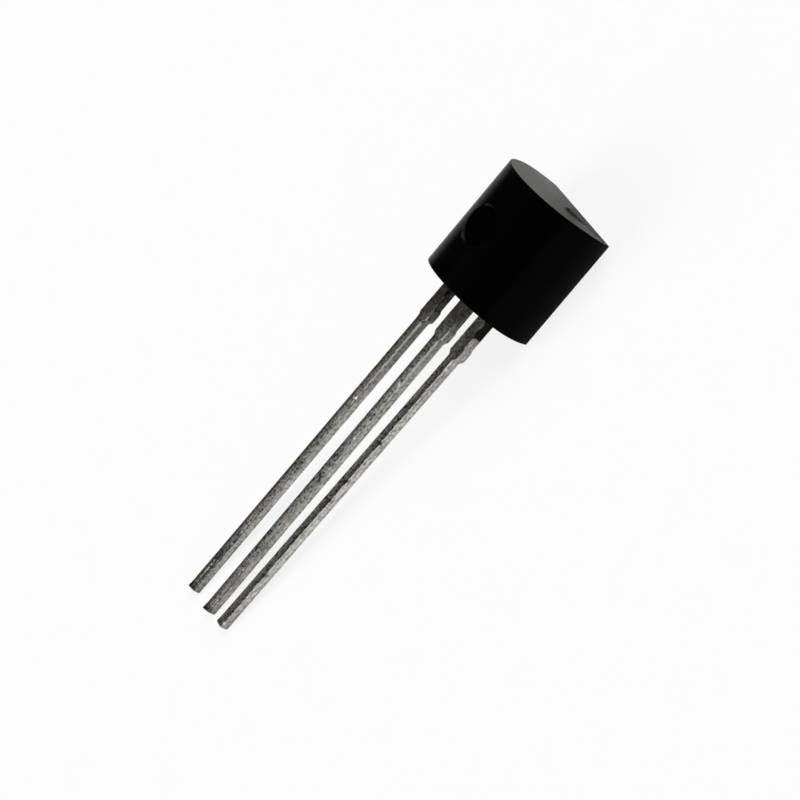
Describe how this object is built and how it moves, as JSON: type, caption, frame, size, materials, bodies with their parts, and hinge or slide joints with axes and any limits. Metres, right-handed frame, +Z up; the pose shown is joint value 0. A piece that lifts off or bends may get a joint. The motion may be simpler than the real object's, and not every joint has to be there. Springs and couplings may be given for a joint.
{
  "type": "to-92 transistor",
  "caption": "Plastic transistor with a D-shaped moulded body, long flat-sided leads from one end, and a lead frame, die and bond wires inside.",
  "frame": {"origin": "middle of the part's footprint on the ground, as it lies on its flat and its lead tips", "axes": "+Z up, +X along the package towards the head, leads towards -X, lead row along Y"},
  "size_m": [0.0196, 0.0046, 0.0038],
  "materials": {
    "moulding": "satin moulded epoxy",
    "lead": "dull tinned",
    "silicon": "polished",
    "die_attach": "matte silver-filled adhesive",
    "bond_wire": "bright drawn"
  },
  "bodies": {
    "root": {"body": "moulding", "collector_lead": "lead", "base_lead": "lead", "emitter_lead": "lead", "die": "silicon", "die_attach": "die_attach", "base_wire": "bond_wire", "emitter_wire": "bond_wire"}
  },
  "joints": []
}
